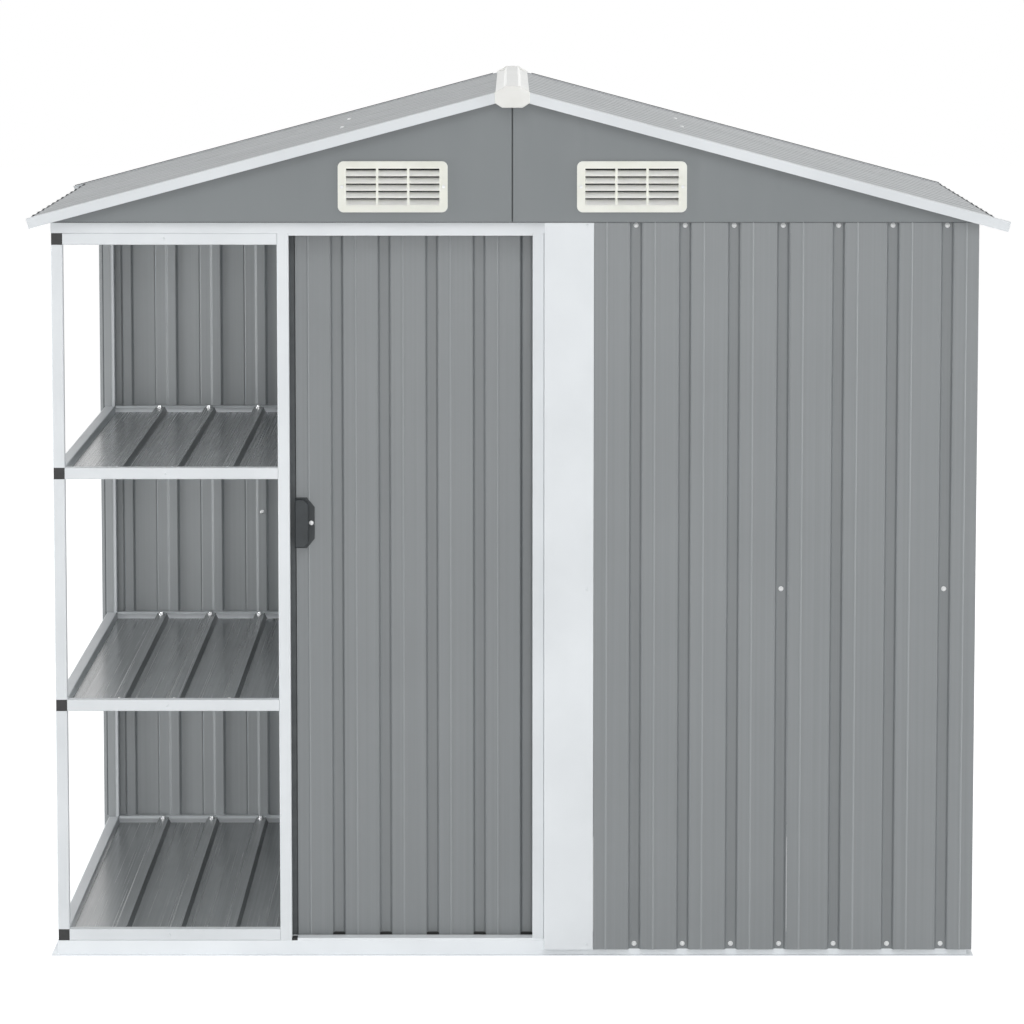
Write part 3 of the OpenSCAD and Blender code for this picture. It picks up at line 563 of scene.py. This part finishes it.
# black block where the sill meets the door post: painted shade of the hole there
sillShadeBlock = dict(gap=0.4, fromFront=1, fromSlot=1.6, low=18, fromTop=1.5, round=1.0)
first = Vector((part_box("door_post")[1].x + sillShadeBlock["gap"] * mm, low.y + sillShadeBlock["fromFront"] * mm,
                sillTop.z - sillShadeBlock["low"] * mm))
last = Vector((doorCorner.x - sillShadeBlock["gap"] * mm, slotFront - sillShadeBlock["fromSlot"] * mm,
               sillTop.z - sillShadeBlock["fromTop"] * mm))
softBlock("sillShadeBlock", first, last, sillShadeBlock["round"], blackAbs)
print("shed: sill light strip and shade block set")

# black blocks fill the lower ends of the door's grooves, just over the sill: painted shade of the gaps under
# the grooves
grooveShadeBlocks = dict(floorWide=19.6, mouthWide=25.6, deep=8.4, under=5, over=3, off=0.02, round=0.3)
grooveShadeBlack = evenSkin("black painted in as shade at the groove ends", dict(
    dark="#161717", light="#212222", cloudMm=6, grainMm=1.5, gloss=(0.7, 0.85), bump=0.3))
bm = bmesh.new()
for floor in grooveFloors("door_panel", ahead)[1]:
    made = bmesh.ops.create_cube(bm, size=1.0)["verts"]
    mouth = [v for v in made if v.co.y < 0]
    bmesh.ops.scale(bm, vec=(grooveShadeBlocks["floorWide"] * mm, grooveShadeBlocks["deep"] * mm,
                             (grooveShadeBlocks["under"] + grooveShadeBlocks["over"]) * mm), verts=made)
    bmesh.ops.scale(bm, vec=(grooveShadeBlocks["mouthWide"] / grooveShadeBlocks["floorWide"], 1, 1), verts=mouth)
    middle = Vector((floor.x, floor.y - (grooveShadeBlocks["deep"] / 2 + grooveShadeBlocks["off"]) * mm,
                     sillTop.z + (grooveShadeBlocks["over"] - grooveShadeBlocks["under"]) / 2 * mm))
    bmesh.ops.translate(bm, vec=middle, verts=made)
bend(bm, bm.edges[:], grooveShadeBlocks["round"], 2)
reportClosed("grooveShadeBlocks", bm)
finishPiece(bm, "grooveShadeBlocks", grooveShadeBlack, "door")

# dark strip between the rack's corner angle and the back wall: painted shade of the gap there
cornerShadeStrip = dict(wide=4.4, deep=14, off=0.1, round=1.2)
low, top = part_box("rack_corner_angle")
inner = low.x - cornerShadeStrip["off"] * mm
first = Vector((inner - cornerShadeStrip["wide"] * mm, top.y - cornerShadeStrip["deep"] * mm / 2, low.z))
last = Vector((inner, top.y + cornerShadeStrip["deep"] * mm / 2, top.z))
softBlock("cornerShadeStrip", first, last, cornerShadeStrip["round"], paintedShadeStrips)
print("shed: corner shade strip set")

# dark strip under the lower edge of each gable, painted shade of the gable's edge; and a fly screen behind each
# vent, black to give the slots the shade behind them
gableShadeStrip = dict(high=1.9, thick=0.9, gap=0.05, round=0.3)
ventScreen = dict(off=5.4, thick=1.2, size=(196, 79), round=0.4)
screenCloth = evenSkin("black fly screen darkening the louvre slots as shade", dict(
    dark="#141414", light="#1c1c1c", cloudMm=9, grainMm=1.2, gloss=(0.7, 0.85), bump=0.4))
for end, way in (("front", -1), ("back", 1)):
    low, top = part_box(end + "_gable")
    sheet = low.y if way < 0 else top.y
    near, far = sorted((sheet, sheet - way * gableShadeStrip["thick"] * mm))
    first = Vector((low.x, near, low.z - gableShadeStrip["high"] * mm))
    last = Vector((top.x, far, low.z - gableShadeStrip["gap"] * mm))
    softBlock(end + "GableShadeStrip", first, last, gableShadeStrip["round"], paintedShadeStrips)
    behind = sheet - way * ventScreen["off"] * mm
    near, far = sorted((behind, behind - way * ventScreen["thick"] * mm))
    low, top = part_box(end + "_vents")
    level = (low.z + top.z) / 2
    wide, high = (size * mm / 2 for size in ventScreen["size"])
    for side, label in ((-1, "Left"), (1, "Right")):
        x = side * ventScrews["middle"] * mm
        softBlock(end + label + "Screen", Vector((x - wide, near, level - high)),
                  Vector((x + wide, far, level + high)), ventScreen["round"], screenCloth)
print("shed: gable strips and vent screens set")

# dark strip over the cut edge of each roof sheet at the eaves, painted shade of the open groove ends: it
# follows the grooves
eaveShadeStrip = dict(wide=4, thick=0.8, cut=0.001)
paintedShadeEdging = evenSkin("dark grey edging painted in as shade lines", dict(
    dark="#303335", light="#3b3e40", cloudMm=20, grainMm=2, gloss=(0.4, 0.52), bump=0.1))
for label, side in (("left", -1), ("right", 1)):
    down = slopeWays(side)[1]
    bm = mergedCopy(label + "_roof")
    end = max(v.co.dot(down) for v in bm.verts)
    bmesh.ops.bisect_plane(bm, geom=bm.verts[:] + bm.edges[:] + bm.faces[:], dist=eaveShadeStrip["cut"] * mm,
                           plane_co=down * (end - eaveShadeStrip["wide"] * mm), plane_no=down, clear_inner=True)
    bmesh.ops.holes_fill(bm, edges=[e for e in bm.edges if e.is_boundary], sides=0)
    bmesh.ops.recalc_face_normals(bm, faces=bm.faces)
    bm.normal_update()
    for v in bm.verts:
        v.co += v.normal * eaveShadeStrip["thick"] * mm
    reportClosed(label + "EaveShadeLine", bm)
    finishPiece(bm, label + "EaveShadeLine", paintedShadeEdging, "shed")
print("shed: eave shade lines set")

# the same dark strip on the rear verge trims, along their upper corner: painted shade of the gap under the
# trims
rearShadeStrip = dict(wide=2.0, high=1.6, fromRidge=40, fromEave=3, round=0.4, longOver=100)
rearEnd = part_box("verge_trims")[1].y
for label, side in (("left", -1), ("right", 1)):
    out, down = slopeWays(side)
    rear = [v.co for v in nodes["verge_trims"].data.vertices if v.co.y > 0 and v.co.x * side > 0]
    level = max(c.dot(out) for c in rear)
    end = max(c.dot(down) for c in rear) - rearShadeStrip["fromEave"] * mm
    start = min(c.dot(down) for c in rear) + rearShadeStrip["fromRidge"] * mm
    bm = bmesh.new()
    bmesh.ops.create_cube(bm, size=1.0)
    size = Vector((end - start, rearShadeStrip["wide"] * mm, rearShadeStrip["high"] * mm))
    bmesh.ops.scale(bm, vec=size, verts=bm.verts)
    bend(bm, [e for e in bm.edges if e.calc_length() > rearShadeStrip["longOver"] * mm], rearShadeStrip["round"], 2)
    turn = Matrix((down * side, Vector((0, 1, 0)), out)).transposed().to_4x4()
    spot = down * (start + end) / 2 + out * (level + rearShadeStrip["high"] * mm / 2)
    spot += Vector((0, rearEnd - rearShadeStrip["wide"] * mm / 2, 0))
    bmesh.ops.transform(bm, matrix=Matrix.Translation(spot) @ turn, verts=bm.verts)
    finishPiece(bm, label + "RearShadeLine", paintedShadeEdging, "shed")
print("shed: rear shade lines set")


# 1 where the camera, a reflection or glass looks, 0 for light on its way to the shed
def seenRays(owner):
    path = addNode(owner, "LightPath")
    seen = path.outputs["Is Camera Ray"]
    for ray in ("Is Glossy Ray", "Is Transmission Ray"):
        both = addNode(owner, "Math", {"operation": "ADD", "use_clamp": True}, {0: seen, 1: path.outputs[ray]})
        seen = both.outputs[0]
    return seen


# floor: pale, white where it is seen, and it keeps the shadow
stageLook = dict(half=30.0, bounce="#fafafa", seen="#bcbcbc", glow=0.8, ambient=0.40, sky="#ffffff")
floorMat = bpy.data.materials.new("pale studio floor")
floorMat.use_nodes = True
floorMat.node_tree.nodes.clear()
bounce = addNode(floorMat, "BsdfDiffuse", {"Color": hexColour(stageLook["bounce"])})
shown = addNode(floorMat, "BsdfDiffuse", {"Color": hexColour(stageLook["seen"])})
glow = addNode(floorMat, "Emission", {"Strength": stageLook["glow"]})
bright = addNode(floorMat, "AddShader", {}, {0: shown.outputs[0], 1: glow.outputs[0]})
mixed = addNode(floorMat, "MixShader", {}, {0: seenRays(floorMat), 1: bounce.outputs[0], 2: bright.outputs[0]})
addNode(floorMat, "OutputMaterial", {}, {"Surface": mixed.outputs[0]})
bm = bmesh.new()
bmesh.ops.create_grid(bm, x_segments=1, y_segments=1, size=stageLook["half"])
floorMesh = bpy.data.meshes.new("studioFloor")
bm.to_mesh(floorMesh)
bm.free()
floorMesh.materials.append(floorMat)
studioFloor = bpy.data.objects.new("studioFloor", floorMesh)
scene.collection.objects.link(studioFloor)

# world: soft ambient on the object, plain white where it is seen
world = bpy.data.worlds.new("studio")
world.use_nodes = True
world.node_tree.nodes.clear()
level = addNode(world, "MapRange", {"To Min": stageLook["ambient"], "To Max": 1.0}, {"Value": seenRays(world)})
sky = addNode(world, "Background", {"Color": hexColour(stageLook["sky"])}, {"Strength": level.outputs[0]})
addNode(world, "OutputWorld", {}, {"Surface": sky.outputs[0]})
scene.world = world

# softboxes: (place, size, watts), all aimed at the middle of the shed; those behind it leave no glare
softboxes = {
    "key": ((0.5, -20.0, 2.2), 6.0, 800),
    "left": ((-7.0, -1.4, 1.4), 3.0, 215),
    "top": ((0.0, -0.5, 6.5), 5.0, 38),
    "brow": ((0.0, -12.0, 13.0), 8.0, 560),
    "frontRight": ((7.0, -2.2, 1.8), 3.0, 160),
    "right": ((7.5, 1.5, 2.2), 3.0, 110),
    "backLeft": ((-5.5, 6.5, 2.4), 3.0, 150),
    "backRight": ((5.5, 6.5, 2.4), 3.0, 150),
}
shedMiddle = Vector((0, 0, 0.9))
for name, (place, size, watts) in softboxes.items():
    lamp = bpy.data.lights.new(name, "AREA")
    lamp.size = size
    lamp.energy = watts
    box = bpy.data.objects.new(name, lamp)
    box.location = place
    box.rotation_euler = (shedMiddle - Vector(place)).to_track_quat("-Z", "Y").to_euler()
    box.visible_glossy = place[1] < 0
    scene.collection.objects.link(box)

# camera: higher than the ridge, tilted down a little, with a small shift
view = dict(place=(-0.0007, -9.8915, 2.1505), down=6.1578, lens=158.528, sensor=36, shift=-0.1)
camData = bpy.data.cameras.new("camera")
camData.lens = view["lens"]
camData.sensor_width = view["sensor"]
camData.shift_y = view["shift"]
camera = bpy.data.objects.new("camera", camData)
camera.location = view["place"]
camera.rotation_euler = (math.radians(90 - view["down"]), 0, 0)
scene.collection.objects.link(camera)
scene.camera = camera
scene.view_settings.view_transform = "Standard"
print("shed: stage, light and camera set")
